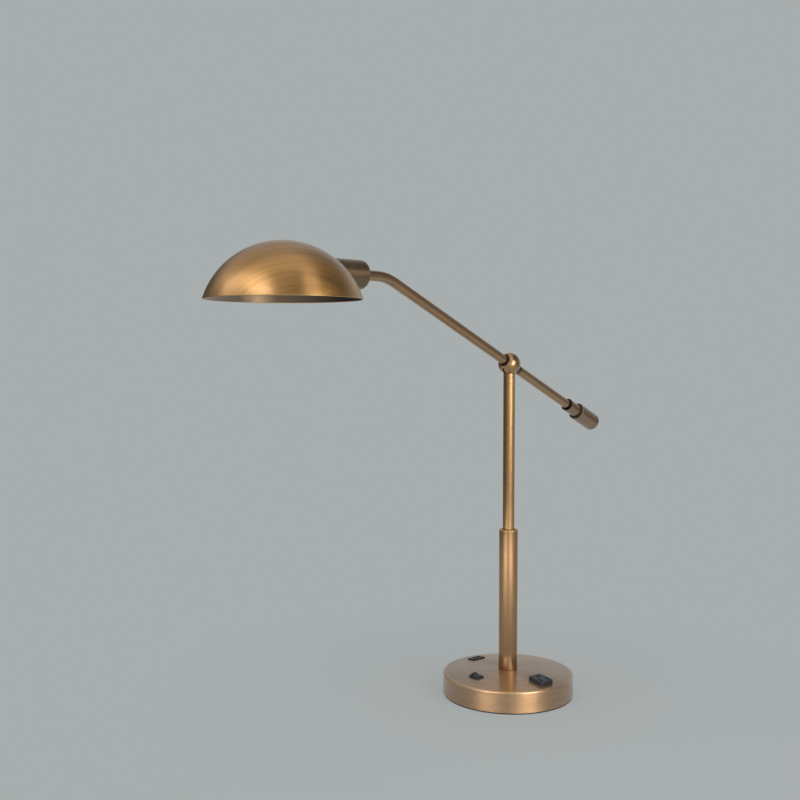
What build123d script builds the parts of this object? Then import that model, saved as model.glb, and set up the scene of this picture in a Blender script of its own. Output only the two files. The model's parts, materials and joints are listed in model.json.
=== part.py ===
from build123d import *
from math import asin, cos, radians, sin, sqrt
import os

os.makedirs("parts", exist_ok=True)

# A balance-arm desk lamp. The origin is the middle of the foot's underside, +Z is up, the
# post stands on the Z axis and the arm lies in the XZ plane with its shade towards -X.

# Clearances between neighbours
running_fit = 0.05
close_fit = 0.05
seat_gap = 0.2
thrust_gap = 0.1

# Base: a spun brass cover over a cast iron weight, closed by a plate and a foam foot
foot_thickness = 1.8
foot_inset = 0.9
base_foot_radius = 89.8
base_draft = 0.4
base_rim_height = 29.1
base_top = 34.5
base_wall = 1.6
base_edge_round = 1.5
post_seat_radius = 14.0
plate_thickness = 2.0
plate_margin = 2.2
weight_top = 23.3
weight_clearance = 1.8
boss_radius = 13.5
screw_circle_radius = 36.0
screw_count = 4
screw_radius = 2.0
screw_head_radius = 3.6
screw_head_height = 1.2
screw_length = 11.0
cord_hole_radius = 5.0
cord_bore_radius = 3.6
cord_flange_radius = 7.0
cord_flange_thickness = 1.6
cord_height = 12.0

# Hollow stud that clamps post, cover and weight together
stud_radius = 5.0
stud_bore_radius = 3.2
stud_bottom = 4.6
stud_top = 45.5
nut_recess_radius = 13.0
nut_recess_top = 14.0
washer_radius = 11.5
washer_thickness = 1.6
nut_flats = 14.0
nut_thickness = 5.0

# Fittings let into the base's top, on planes turned a little about the post
fittings_turn = -8.0
outlet_margin = 24.9
outlet_width = 21.0
outlet_depth = 25.0
outlet_rise = 5.0
outlet_body_height = 22.0
blade_pitch = 12.7
blade_slot_width = 2.4
blade_slot_length = 8.5
ground_hole_radius = 2.6
ground_offset = 11.9
socket_depth = 12.0
contact_thickness = 0.4
usb_margin = 22.9
usb_width = 22.0
usb_depth = 13.0
usb_rise = 1.6
usb_body_height = 16.0
port_width = 12.5
port_height = 5.1
port_depth = 11.0
port_wall = 0.4
tongue_width = 10.6
tongue_thickness = 1.9
board_thickness = 1.6
charger_height = 5.0
switch_margin = 31.7
switch_width = 12.8
switch_depth = 17.4
switch_rise = 2.0
switch_body_height = 14.0
fitting_lip = 1.0
fitting_corner = 1.2

# Rocker of the switch, tipped about its own long axis
rocker_tilt = 11.0
rocker_half_length = 6.0
rocker_width = 8.0
rocker_end_height = 2.8
rocker_middle_height = 1.6
rocker_skirt = 1.6
rocker_keel = 3.6
rocker_keel_half = 3.0
rocker_pin_radius = 1.2
rocker_pin_reach = 0.9
rocker_pivot_drop = 1.0
rocker_side_gap = 0.3
rocker_end_gap = 0.35

# Post: a wide lower tube, and an upper tube that turns in its bushes
lower_radius = 12.7
lower_wall = 1.5
lower_top = 228.4
lip_bore_radius = 9.5
lip_height = 4.0
mouth_round = 1.2
tube_edge_chamfer = 0.5
plug_height = 12.0
upper_radius = 7.95
upper_wall = 1.5
thrust_seat_top = 118.0
thrust_seat_height = 6.0
thrust_seat_bore = 4.0
lower_bush_bottom = 128.0
lower_bush_height = 20.0
upper_bush_height = 28.0
ring_height = 3.7
ring_radius = 8.9
lug_reach = 10.7
lug_width = 3.0
stop_pin_radius = 0.8
stop_pin_circle_radius = 10.0

# Ball joint: a tongue in the post's top reaches into an arc-shaped slot of the ball
ball_radius = 15.2
ball_height = 456.0
ball_flat = 12.1
arm_rise_angle = 24.55
arm_half_travel_angle = 30.0
tongue_blade_half_width = 1.6
tongue_blade_thickness = 2.0
tongue_top_radius = 9.0
tongue_plug_height = 18.0
tongue_plug_drop = 19.1
lead_hole_radius = 1.9
lead_hole_offset = 4.0
guide_radius = 11.0
guide_pin_radius = 1.1
guide_pin_half_length = 3.6
ball_seat_bore = 4.2
guide_clearance = 0.4
slot_end_angle = 12.0
slot_overshoot = 1.0
guide_end_angle = 8.0
ball_bush_radius = 8.3
ball_bush_thickness = 1.6
ball_bush_recess = 0.3
set_screw_radius = 2.0
set_screw_socket = 1.1
set_screw_socket_depth = 2.0
ball_screw_end = 13.2

# Arm: one bent tube from the counterweight through the ball to the head
arm_radius = 6.35
arm_wall = 1.2
arm_bend_distance = 257.3
arm_bend_radius = 75.0
arm_straight = 35.46
arm_tail = 205.0
collar_start = 145.5
collar_radius = 9.2
collar_ring_thickness = 2.0
collar_foot_radius = 10.2
collar_foot_length = 1.6
counterweight_start = 171.0
counterweight_end = 217.0
counterweight_radius = 12.6
counterweight_round = 4.0
counterweight_chamfer = 0.3
weight_recess_radius = 11.9
weight_recess_depth = 1.2
weight_washer_thickness = 1.0
counterweight_screw_place = 194.0
counterweight_screw_end = 11.6

# Swivel between arm and head
swivel_ring_length = 3.4
swivel_radius = 4.0
swivel_bore_radius = 2.8
swivel_plug_length = 14.0
swivel_washer_radius = 7.4
swivel_washer_thickness = 1.0
swivel_nut_flats = 12.0
swivel_nut_thickness = 4.2
swivel_tail = 1.0

# Head: a turned cup that carries the lampholder and the spun shade
cup_underside = 36.1
cup_radius = 17.3
cup_wall = 1.5
cup_round = 5.0
holder_setback = 10.5
holder_base = 9.5
shoulder_gap = 0.8
holder_neck = 13.2
sleeve_outer = 13.75
sleeve_inner = 13.2
sleeve_length = 22.0
center_contact_radius = 4.5
center_contact_thickness = 2.0
holder_screw_setback = 4.7
holder_screw_radius = 1.5
holder_screw_start = 13.2
holder_screw_end = 17.0
shade_rim_radius = 88.3
shade_height = 64.3
shade_rim_drop = 32.2
shade_wall = 1.0
shade_hole_radius = 14.6
backing_radius = 19.0
backing_thickness = 1.2

# Bulb
cap_radius = 13.1
cap_gap = 4.0
cap_length = 23.0
cap_button_radius = 4.5
neck_radius = 12.9
neck_length = 17.0
globe_radius = 22.5
globe_reach = 35.3
glass_wall = 1.0
stem_radius = 3.5
stem_length = 12.0
filament_radius = 0.9
filament_length = 29.0
filament_circle_radius = 5.0
filament_count = 4

# Values that follow from those above
foot_radius = base_foot_radius - foot_inset
base_rim_radius = base_foot_radius - base_draft
weight_radius = base_rim_radius - base_wall - weight_clearance
outlet_distance = base_rim_radius - outlet_margin
usb_distance = base_rim_radius - usb_margin
switch_distance = base_rim_radius - switch_margin
crown_drop = base_top - base_rim_height
crown_reach = base_rim_radius - post_seat_radius
crown_arc = (crown_reach**2 + crown_drop**2) / (2 * crown_drop)
plate_top = foot_thickness + plate_thickness
lower_bore = lower_radius - lower_wall
upper_bore = upper_radius - upper_wall
arm_bore = arm_radius - arm_wall
arm_direction = Vector(-cos(radians(arm_rise_angle)), 0, sin(radians(arm_rise_angle)))
ball_middle = Vector(0, 0, ball_height)
arm_axis = Axis(ball_middle, arm_direction)
head_height = ball_height + arm_bend_distance * sin(radians(arm_rise_angle))
head_axis = Axis((0, 0, head_height), (-1, 0, 0))
arm_end = arm_bend_distance * cos(radians(arm_rise_angle)) + arm_straight
cup_rear = arm_end + swivel_ring_length + thrust_gap
cup_bore = cup_radius - cup_wall
shade_sphere = (shade_rim_radius**2 + shade_height**2) / (2 * shade_height)
shade_rim_z = head_height - shade_rim_drop
shade_sphere_z = shade_rim_z + shade_height - shade_sphere
cup_sphere_height = head_height - cup_radius - shade_sphere_z
shade_center = cup_rear + cup_underside + sqrt(shade_sphere**2 - cup_sphere_height**2)
holder_rear = cup_rear + holder_setback
holder_screw_place = holder_rear + holder_screw_setback
holder_floor = holder_rear + holder_base
holder_shoulder = cup_rear + cup_underside - shoulder_gap
holder_front = holder_shoulder + holder_neck
cap_rear = holder_floor + cap_gap
cap_front = cap_rear + cap_length
neck_end = cap_front + neck_length
globe_center = neck_end + globe_reach
stem_end = neck_end + stem_length
filament_end = stem_end + filament_length


# A horizontal plane at this height
def level(height):
    return Plane.XY.offset(height)


# Height of the base cover's outside at this distance from the post
def crown_height(radius):
    return base_top - crown_arc + sqrt(crown_arc**2 - (radius - post_seat_radius) ** 2)


# A plane this far above the cover, square to its slope, on the grid the three fittings share
def fitting_plane(across, along, rise):
    grid = Plane.XY.rotated((0, 0, fittings_turn))
    radius = sqrt(across**2 + along**2)
    outward = grid.from_local_coords((across / radius, along / radius, 0))
    slope = asin((radius - post_seat_radius) / crown_arc)
    upright = outward * sin(slope) + Vector(0, 0, cos(slope))
    seat = outward * radius + Vector(0, 0, crown_height(radius))
    return Plane(seat + upright * rise, grid.x_dir - upright * upright.dot(grid.x_dir), upright)


# The plane square to the arm, this far from the ball's middle towards the shade
def along_arm(distance):
    return Plane(ball_middle + arm_direction * distance, (0, 1, 0), arm_direction)


# The plane square to the head's axis, this far out from the post
def facing_shade(distance):
    return Plane((-distance, 0, head_height), (0, 1, 0), (-1, 0, 0))


# Plane in which the ball's slot is drawn: local X runs along the arm, local -Y is underneath
ball_side = Plane(ball_middle, arm_direction, (0, 1, 0))

# Plane in which turned parts of the head are drawn: local X is the distance from the post
head_side = Plane((0, 0, head_height), (-1, 0, 0), (0, 1, 0))

# Outline of the solid under the cover's outside, which the fittings' bezels sit on
with BuildPart() as crown_form:
    with BuildSketch(Plane.XZ):
        with BuildLine():
            crown_flat = Line((0, base_top), (post_seat_radius, base_top))
            crown_curve = TangentArc(
                (post_seat_radius, base_top), (base_rim_radius, base_rim_height), tangent=(1, 0)
            )
            Polyline(
                (base_rim_radius, base_rim_height),
                (base_foot_radius, foot_thickness),
                (0, foot_thickness),
                (0, base_top),
            )
        make_face()
    revolve(axis=Axis.Z)

# Foam foot that the lamp stands on
with BuildPart() as foot_pad:
    with BuildSketch():
        Circle(foot_radius)
    extrude(amount=foot_thickness)
foot_pad.part.label = "foot_pad"
export_step(foot_pad.part, "parts/foot_pad.step")

# Steel plate that closes the base from below
with BuildPart() as base_plate:
    with BuildSketch(level(foot_thickness)):
        Circle(base_rim_radius - plate_margin)
    extrude(amount=plate_thickness)
    with Locations(level(foot_thickness)):
        with PolarLocations(screw_circle_radius, screw_count):
            Cylinder(
                screw_head_radius + close_fit,
                screw_head_height,
                align=(Align.CENTER, Align.CENTER, Align.MIN),
                mode=Mode.SUBTRACT,
            )
            Cylinder(
                screw_radius + close_fit,
                plate_thickness,
                align=(Align.CENTER, Align.CENTER, Align.MIN),
                mode=Mode.SUBTRACT,
            )
base_plate.part.label = "base_plate"
export_step(base_plate.part, "parts/base_plate.step")

# Screws that hold the plate to the weight, heads flush under the plate
with BuildPart() as base_screws:
    with BuildSketch(level(foot_thickness)):
        with PolarLocations(screw_circle_radius, screw_count):
            Circle(screw_head_radius)
    extrude(amount=screw_head_height)
    with BuildSketch(level(foot_thickness)):
        with PolarLocations(screw_circle_radius, screw_count):
            Circle(screw_radius)
    extrude(amount=screw_length)
base_screws.part.label = "base_screws"
export_step(base_screws.part, "parts/base_screws.step")

# Cast iron weight with a boss up to the cover and a pocket under each fitting
pocket_margin = 3.0
with BuildPart() as base_weight:
    with BuildSketch(level(plate_top)):
        Circle(weight_radius)
    extrude(amount=weight_top - plate_top)
    with BuildSketch(level(plate_top)):
        Circle(boss_radius)
    extrude(amount=base_top - base_wall - plate_top)
    with BuildSketch(level(plate_top)):
        Circle(nut_recess_radius)
    extrude(amount=nut_recess_top - plate_top, mode=Mode.SUBTRACT)
    with BuildSketch(level(plate_top)):
        Circle(stud_radius + close_fit)
    extrude(amount=base_top, mode=Mode.SUBTRACT)
    with BuildSketch(level(plate_top)):
        with PolarLocations(screw_circle_radius, screw_count):
            Circle(screw_radius + close_fit)
    extrude(amount=screw_length, mode=Mode.SUBTRACT)
    with BuildSketch(fitting_plane(0, -outlet_distance, -base_top)):
        Rectangle(outlet_width + pocket_margin, outlet_depth + pocket_margin)
    extrude(amount=base_top, mode=Mode.SUBTRACT)
    with BuildSketch(fitting_plane(0, usb_distance, -base_top)):
        Rectangle(usb_width + pocket_margin, usb_depth + pocket_margin)
    extrude(amount=base_top, mode=Mode.SUBTRACT)
    with BuildSketch(fitting_plane(-switch_distance, 0, -base_top)):
        Rectangle(switch_width + pocket_margin, switch_depth + pocket_margin)
    extrude(amount=base_top, mode=Mode.SUBTRACT)
    with BuildSketch(Plane((base_rim_radius, 0, cord_height), (0, 1, 0), (-1, 0, 0))):
        Circle(cord_flange_radius)
    extrude(amount=base_rim_radius - screw_circle_radius - pocket_margin * 2, mode=Mode.SUBTRACT)
base_weight.part.label = "base_weight"
export_step(base_weight.part, "parts/base_weight.step")

# Spun brass cover, pierced for the stud, the three fittings and the cord's bushing
with BuildPart() as base_shell:
    add(crown_form.part)
    rim_edge = base_shell.edges().filter_by_position(
        Axis.Z, base_rim_height - base_wall, base_rim_height + close_fit
    )
    fillet(rim_edge.sort_by(SortBy.LENGTH)[-1], radius=base_edge_round)
    with BuildSketch(Plane.XZ):
        with BuildLine():
            Line((0, base_top - base_wall), (post_seat_radius, base_top - base_wall))
            TangentArc(
                (post_seat_radius, base_top - base_wall),
                (base_rim_radius - base_wall, base_rim_height - base_wall),
                tangent=(1, 0),
            )
            Polyline(
                (base_rim_radius - base_wall, base_rim_height - base_wall),
                (base_foot_radius - base_wall, foot_thickness),
                (0, foot_thickness),
                (0, base_top - base_wall),
            )
        make_face()
    revolve(axis=Axis.Z, mode=Mode.SUBTRACT)
    with BuildSketch(level(foot_thickness)):
        Circle(stud_radius + close_fit)
    extrude(amount=base_top, mode=Mode.SUBTRACT)
    hole_margin = 2 * (close_fit - fitting_lip)
    with BuildSketch(fitting_plane(0, -outlet_distance, -2 * base_wall)):
        Rectangle(outlet_width + hole_margin, outlet_depth + hole_margin)
    extrude(amount=3 * base_wall, mode=Mode.SUBTRACT)
    with BuildSketch(fitting_plane(0, usb_distance, -2 * base_wall)):
        Rectangle(usb_width + hole_margin, usb_depth + hole_margin)
    extrude(amount=3 * base_wall, mode=Mode.SUBTRACT)
    with BuildSketch(fitting_plane(-switch_distance, 0, -2 * base_wall)):
        Rectangle(switch_width + hole_margin, switch_depth + hole_margin)
    extrude(amount=3 * base_wall, mode=Mode.SUBTRACT)
    with BuildSketch(Plane((weight_radius, 0, cord_height), (0, 1, 0), (1, 0, 0))):
        Circle(cord_hole_radius + close_fit)
    extrude(amount=base_foot_radius, mode=Mode.SUBTRACT)
base_shell.part.label = "base_shell"
export_step(base_shell.part, "parts/base_shell.step")

# Nylon bushing in the cover's rear wall where the mains lead enters
with BuildPart() as cord_bushing:
    with BuildSketch(Plane((weight_radius, 0, cord_height), (0, 1, 0), (1, 0, 0))):
        Circle(cord_flange_radius)
    extrude(amount=base_foot_radius + cord_flange_thickness - weight_radius)
    with BuildSketch(Plane.XZ):
        with BuildLine():
            Polyline(
                (0, 0),
                (base_foot_radius, 0),
                (base_foot_radius, foot_thickness),
                (base_rim_radius, base_rim_height),
                (0, base_rim_height),
                close=True,
            )
        make_face()
    revolve(axis=Axis.Z, mode=Mode.SUBTRACT)
    with BuildSketch(Plane((weight_radius, 0, cord_height), (0, 1, 0), (1, 0, 0))):
        Circle(cord_hole_radius)
    extrude(amount=base_foot_radius + cord_flange_thickness - weight_radius)
    with BuildSketch(Plane((weight_radius, 0, cord_height), (0, 1, 0), (1, 0, 0))):
        Circle(cord_bore_radius)
    extrude(amount=base_foot_radius, mode=Mode.SUBTRACT)
cord_bushing.part.label = "cord_bushing"
export_step(cord_bushing.part, "parts/cord_bushing.step")

# Hollow threaded stud, with its washer and nut in the weight's underside
with BuildPart() as post_stud:
    with BuildSketch(level(stud_bottom)):
        Circle(stud_radius)
        Circle(stud_bore_radius, mode=Mode.SUBTRACT)
    extrude(amount=stud_top - stud_bottom)
post_stud.part.label = "post_stud"
export_step(post_stud.part, "parts/post_stud.step")

with BuildPart() as post_washer:
    with BuildSketch(level(nut_recess_top - washer_thickness)):
        Circle(washer_radius)
        Circle(stud_radius + close_fit, mode=Mode.SUBTRACT)
    extrude(amount=washer_thickness)
post_washer.part.label = "post_washer"
export_step(post_washer.part, "parts/post_washer.step")

with BuildPart() as post_nut:
    with BuildSketch(level(nut_recess_top - washer_thickness - nut_thickness)):
        RegularPolygon(nut_flats / 2, 6, major_radius=False)
        Circle(stud_radius + close_fit, mode=Mode.SUBTRACT)
    extrude(amount=nut_thickness)
post_nut.part.label = "post_nut"
export_step(post_nut.part, "parts/post_nut.step")

# Convenience outlet: a block on the cover with two blade slots and a ground hole
outlet_slots = [(-blade_pitch / 2, -ground_offset / 2), (blade_pitch / 2, -ground_offset / 2)]
with BuildPart() as outlet_housing:
    with BuildSketch(fitting_plane(0, -outlet_distance, -fitting_corner)):
        RectangleRounded(outlet_width, outlet_depth, fitting_corner)
    extrude(amount=outlet_rise + fitting_corner)
    fillet(outlet_housing.faces().sort_by(Axis.Z)[-1].edges(), radius=fitting_corner / 2)
    add(crown_form.part, mode=Mode.SUBTRACT)
    with BuildSketch(fitting_plane(0, -outlet_distance, outlet_rise - fitting_corner)):
        Rectangle(outlet_width - 2 * fitting_lip, outlet_depth - 2 * fitting_lip)
    extrude(amount=fitting_corner - outlet_body_height)
    with BuildSketch(fitting_plane(0, -outlet_distance, outlet_rise)):
        with Locations(*outlet_slots):
            Rectangle(blade_slot_width, blade_slot_length)
        with Locations((0, ground_offset / 2)):
            Circle(ground_hole_radius)
    extrude(amount=-socket_depth, mode=Mode.SUBTRACT)
outlet_housing.part.label = "outlet_housing"
export_step(outlet_housing.part, "parts/outlet_housing.step")

# Brass contacts at the bottom of the outlet's slots
contact_height = 7.0
with BuildPart() as outlet_contacts:
    with BuildSketch(fitting_plane(0, -outlet_distance, outlet_rise - socket_depth)):
        for slot_x, slot_y in outlet_slots:
            with Locations((slot_x - (blade_slot_width - contact_thickness) / 2, slot_y)):
                Rectangle(contact_thickness, blade_slot_length)
            with Locations((slot_x + (blade_slot_width - contact_thickness) / 2, slot_y)):
                Rectangle(contact_thickness, blade_slot_length)
        with Locations((0, ground_offset / 2)):
            Circle(ground_hole_radius)
            Circle(ground_hole_radius - contact_thickness, mode=Mode.SUBTRACT)
    extrude(amount=contact_height)
outlet_contacts.part.label = "outlet_contacts"
export_step(outlet_contacts.part, "parts/outlet_contacts.step")

# Charging port: bezel and body, metal shell, tongue and the board below
port_outer_width = port_width + 2 * port_wall
port_outer_height = port_height + 2 * port_wall
with BuildPart() as usb_housing:
    with BuildSketch(fitting_plane(0, usb_distance, -fitting_corner)):
        RectangleRounded(usb_width, usb_depth, fitting_corner)
    extrude(amount=usb_rise + fitting_corner)
    fillet(usb_housing.faces().sort_by(Axis.Z)[-1].edges(), radius=fitting_corner / 2)
    add(crown_form.part, mode=Mode.SUBTRACT)
    with BuildSketch(fitting_plane(0, usb_distance, usb_rise - fitting_corner)):
        Rectangle(usb_width - 2 * fitting_lip, usb_depth - 2 * fitting_lip)
    extrude(amount=fitting_corner - usb_body_height)
    with BuildSketch(fitting_plane(0, usb_distance, usb_rise)):
        Rectangle(port_outer_width, port_outer_height)
    extrude(amount=-port_depth, mode=Mode.SUBTRACT)
usb_housing.part.label = "usb_housing"
export_step(usb_housing.part, "parts/usb_housing.step")

port_lip = 0.3
with BuildPart() as usb_shell:
    with BuildSketch(fitting_plane(0, usb_distance, usb_rise - port_depth)):
        Rectangle(port_outer_width, port_outer_height)
        Rectangle(port_width, port_height, mode=Mode.SUBTRACT)
    extrude(amount=port_depth - port_lip)
usb_shell.part.label = "usb_shell"
export_step(usb_shell.part, "parts/usb_shell.step")

tongue_recess = 1.2
tongue_shift = 1.1
with BuildPart() as usb_tongue:
    with BuildSketch(fitting_plane(0, usb_distance, usb_rise - port_depth)):
        with Locations((0, tongue_shift)):
            Rectangle(tongue_width, tongue_thickness)
    extrude(amount=port_depth - tongue_recess)
usb_tongue.part.label = "usb_tongue"
export_step(usb_tongue.part, "parts/usb_tongue.step")

usb_body_bottom = usb_rise - usb_body_height
with BuildPart() as usb_charger:
    with BuildSketch(fitting_plane(0, usb_distance, usb_body_bottom)):
        Rectangle(usb_width - fitting_lip, usb_depth - fitting_lip)
    extrude(amount=-board_thickness)
    with BuildSketch(fitting_plane(0, usb_distance, usb_body_bottom - board_thickness)):
        Rectangle(port_width, usb_depth - 2 * fitting_lip)
    extrude(amount=-charger_height)
usb_charger.part.label = "usb_charger"
export_step(usb_charger.part, "parts/usb_charger.step")

# Rocker switch: the housing has a well for the rocker and a bearing hole in each side
well_half_length = sqrt(rocker_half_length**2 + rocker_end_height**2) + rocker_end_gap
well_width = rocker_width + 2 * rocker_side_gap
with BuildPart() as switch_housing:
    with BuildSketch(fitting_plane(-switch_distance, 0, -fitting_corner)):
        RectangleRounded(switch_width, switch_depth, fitting_corner)
    extrude(amount=switch_rise + fitting_corner)
    fillet(switch_housing.faces().sort_by(Axis.Z)[-1].edges(), radius=fitting_corner / 2)
    add(crown_form.part, mode=Mode.SUBTRACT)
    with BuildSketch(fitting_plane(-switch_distance, 0, switch_rise - fitting_corner)):
        Rectangle(switch_width - 2 * fitting_lip, switch_depth - 2 * fitting_lip)
    extrude(amount=fitting_corner - switch_body_height)
    well_depth = rocker_pivot_drop + rocker_keel + rocker_end_height
    with BuildSketch(fitting_plane(-switch_distance, 0, switch_rise)):
        Rectangle(well_width, 2 * well_half_length)
    extrude(amount=-well_depth, mode=Mode.SUBTRACT)
    bearing_reach = rocker_width / 2 + rocker_pin_reach + close_fit
    with Locations(fitting_plane(-switch_distance, 0, switch_rise - rocker_pivot_drop)):
        Cylinder(
            rocker_pin_radius + running_fit,
            2 * bearing_reach,
            rotation=(0, 90, 0),
            mode=Mode.SUBTRACT,
        )
switch_housing.part.label = "switch_housing"
export_step(switch_housing.part, "parts/switch_housing.step")

# Two terminal blades under the switch
terminal_thickness = 0.8
terminal_width = 4.8
terminal_length = 6.0
terminal_pitch = 9.0
with BuildPart() as switch_terminals:
    with BuildSketch(fitting_plane(-switch_distance, 0, switch_rise - switch_body_height)):
        with Locations((0, -terminal_pitch / 2), (0, terminal_pitch / 2)):
            Rectangle(terminal_width, terminal_thickness)
    extrude(amount=-terminal_length)
switch_terminals.part.label = "switch_terminals"
export_step(switch_terminals.part, "parts/switch_terminals.step")

# Rocker, tipped about its pins so that the end away from the outlet stands up
rocker_pivot = fitting_plane(-switch_distance, 0, switch_rise - rocker_pivot_drop)
rocker_rise = rocker_pivot.z_dir * sin(radians(rocker_tilt))
rocker_along = rocker_pivot.y_dir * cos(radians(rocker_tilt)) + rocker_rise
rocker_side = Plane(rocker_pivot.origin, rocker_along, rocker_pivot.x_dir)
with BuildPart() as switch_rocker:
    with BuildSketch(rocker_side):
        with BuildLine():
            Polyline(
                (0, rocker_middle_height),
                (rocker_half_length, rocker_end_height),
                (rocker_half_length, -rocker_skirt),
                (rocker_keel_half, -rocker_keel),
                (-rocker_keel_half, -rocker_keel),
                (-rocker_half_length, -rocker_skirt),
                (-rocker_half_length, rocker_end_height),
                close=True,
            )
        make_face()
    extrude(amount=rocker_width / 2, both=True)
    with BuildSketch(rocker_side):
        Circle(rocker_pin_radius)
    extrude(amount=rocker_width / 2 + rocker_pin_reach, both=True)
switch_rocker.part.label = "switch_rocker"
export_step(switch_rocker.part, "parts/switch_rocker.step")

# Lower tube, with a lip at its mouth
with BuildPart() as lower_tube:
    with BuildSketch(level(base_top)):
        Circle(lower_radius)
        Circle(lower_bore, mode=Mode.SUBTRACT)
    extrude(amount=lower_top - base_top)
    with BuildSketch(level(lower_top - lip_height)):
        Circle(lower_radius)
        Circle(lip_bore_radius, mode=Mode.SUBTRACT)
    extrude(amount=lip_height)
    mouth = lower_tube.edges().filter_by(GeomType.CIRCLE).group_by(Axis.Z)[-1]
    fillet(mouth.sort_by(SortBy.RADIUS)[-1], radius=mouth_round)
    chamfer(mouth.sort_by(SortBy.RADIUS)[0], length=tube_edge_chamfer)
    foot = lower_tube.edges().filter_by(GeomType.CIRCLE).group_by(Axis.Z)[0]
    chamfer(foot.sort_by(SortBy.RADIUS)[-1], length=tube_edge_chamfer)
lower_tube.part.label = "lower_tube"
export_step(lower_tube.part, "parts/lower_tube.step")

# Threaded plug in the lower tube's foot
with BuildPart() as tube_plug:
    with BuildSketch(level(base_top)):
        Circle(lower_bore - close_fit)
        Circle(stud_radius + close_fit, mode=Mode.SUBTRACT)
    extrude(amount=plug_height)
tube_plug.part.label = "tube_plug"
export_step(tube_plug.part, "parts/tube_plug.step")

# Seat that the upper tube stands on, with the pin that stops it turning past its limits
with BuildPart() as thrust_seat:
    with BuildSketch(level(thrust_seat_top - thrust_seat_height)):
        Circle(lower_bore - close_fit)
        Circle(thrust_seat_bore, mode=Mode.SUBTRACT)
    extrude(amount=thrust_seat_height)
    with BuildSketch(level(thrust_seat_top)):
        with Locations((stop_pin_circle_radius, 0)):
            Circle(stop_pin_radius)
    extrude(amount=lower_bush_bottom - thrust_seat_top)
thrust_seat.part.label = "thrust_seat"
export_step(thrust_seat.part, "parts/thrust_seat.step")

# The two bushes that the upper tube turns in
with BuildPart() as lower_bush:
    with BuildSketch(level(lower_bush_bottom)):
        Circle(lower_bore - close_fit)
        Circle(upper_radius + running_fit, mode=Mode.SUBTRACT)
    extrude(amount=lower_bush_height)
lower_bush.part.label = "lower_bush"
export_step(lower_bush.part, "parts/lower_bush.step")

with BuildPart() as upper_bush:
    with BuildSketch(level(lower_top - lip_height - upper_bush_height)):
        Circle(lower_bore - close_fit)
        Circle(upper_radius + running_fit, mode=Mode.SUBTRACT)
    extrude(amount=upper_bush_height)
upper_bush.part.label = "upper_bush"
export_step(upper_bush.part, "parts/upper_bush.step")

# Upper tube; its mouth is hollowed to the ball's shape
with BuildPart() as upper_tube:
    with BuildSketch(level(thrust_seat_top + thrust_gap)):
        Circle(upper_radius)
        Circle(upper_bore, mode=Mode.SUBTRACT)
    extrude(amount=ball_height - ball_flat - thrust_seat_top)
    with Locations(ball_middle):
        Sphere(ball_radius + seat_gap, mode=Mode.SUBTRACT)
upper_tube.part.label = "upper_tube"
export_step(upper_tube.part, "parts/upper_tube.step")

# Ring that keeps the upper tube from being drawn out; its lug meets the stop pin
with BuildPart() as retaining_ring:
    with BuildSketch(level(lower_bush_bottom - seat_gap - ring_height)):
        Circle(ring_radius)
        with Locations((-lug_reach / 2, 0)):
            Rectangle(lug_reach, lug_width)
        Circle(upper_radius + close_fit, mode=Mode.SUBTRACT)
    extrude(amount=ring_height)
retaining_ring.part.label = "retaining_ring"
export_step(retaining_ring.part, "parts/retaining_ring.step")

# Tongue fixed in the upper tube's mouth; its blade reaches into the ball
tongue_shoulder = ball_height - tongue_plug_drop
guide_pin_z = ball_height - guide_radius
with BuildPart() as joint_tongue:
    with BuildSketch(level(tongue_shoulder)):
        Circle(upper_bore - close_fit)
        with Locations((0, lead_hole_offset)):
            Circle(lead_hole_radius, mode=Mode.SUBTRACT)
    extrude(amount=-tongue_plug_height)
    with BuildSketch(level(tongue_shoulder)):
        Rectangle(2 * tongue_blade_half_width, tongue_blade_thickness)
    extrude(amount=ball_height - tongue_top_radius - tongue_shoulder)
    with BuildSketch(Plane((0, 0, guide_pin_z), (1, 0, 0), (0, -1, 0))):
        Circle(guide_pin_radius)
    extrude(amount=tongue_blade_thickness, both=True, mode=Mode.SUBTRACT)
joint_tongue.part.label = "joint_tongue"
export_step(joint_tongue.part, "parts/joint_tongue.step")

# Pin through the blade, which rides in the ball's arc-shaped guide
with BuildPart() as guide_pin:
    with BuildSketch(Plane((0, 0, guide_pin_z), (1, 0, 0), (0, -1, 0))):
        Circle(guide_pin_radius)
    extrude(amount=guide_pin_half_length, both=True)
guide_pin.part.label = "guide_pin"
export_step(guide_pin.part, "parts/guide_pin.step")

# Nylon seat under the ball
with BuildPart() as ball_seat:
    with BuildSketch(level(tongue_shoulder)):
        Circle(upper_bore - close_fit)
        Circle(ball_seat_bore, mode=Mode.SUBTRACT)
    extrude(amount=ball_height - ball_flat - tongue_shoulder)
    with Locations(ball_middle):
        Sphere(ball_radius + seat_gap, mode=Mode.SUBTRACT)
ball_seat.part.label = "ball_seat"
export_step(ball_seat.part, "parts/ball_seat.step")

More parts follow.
